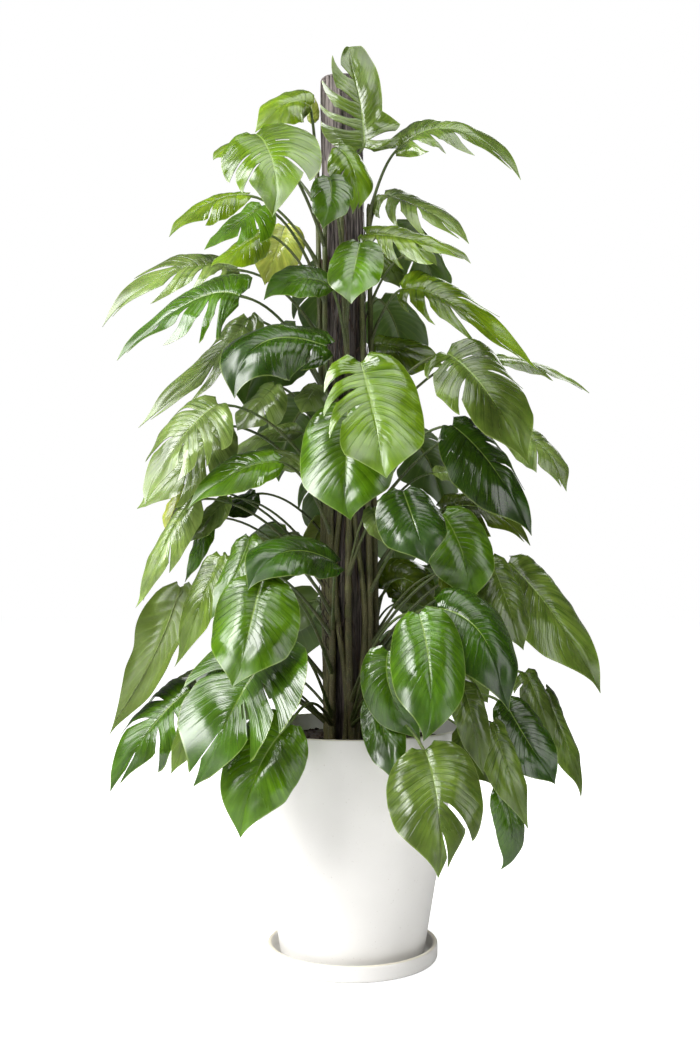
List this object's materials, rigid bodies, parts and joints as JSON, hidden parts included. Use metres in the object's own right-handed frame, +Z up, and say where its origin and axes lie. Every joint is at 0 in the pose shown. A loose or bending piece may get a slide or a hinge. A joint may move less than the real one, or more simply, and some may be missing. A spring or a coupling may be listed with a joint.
{
  "type": "potted dragon tail plant on a tree fern pole",
  "caption": "Climbing foliage plant with split glossy leaves on vines round a tree fern pole, rooted in soil in a tapered white pot on a round saucer",
  "frame": {"origin": "centre of the saucer's flat underside, where it rests", "axes": "+Z up along the pole, -Y towards the front that the picture shows, +X to the viewer's right"},
  "size_m": [0.8233, 0.6053, 1.4814],
  "materials": {
    "glazed_saucer": "satin white glaze",
    "glazed_pot": "satin white glaze",
    "potting_soil": "crumbly and matt",
    "tree_fern": "coarse upright fibres",
    "leaf": "glossy leaf"
  },
  "bodies": {
    "root": {"saucer": "glazed_saucer", "pot": "glazed_pot", "soil": "potting_soil", "pole": "tree_fern", "vine_front": "leaf", "vine_front_left": "leaf", "vine_left": "leaf", "vine_back_left": "leaf", "vine_back_right": "leaf", "vine_right": "leaf", "vine_front_right": "leaf"}
  },
  "joints": []
}
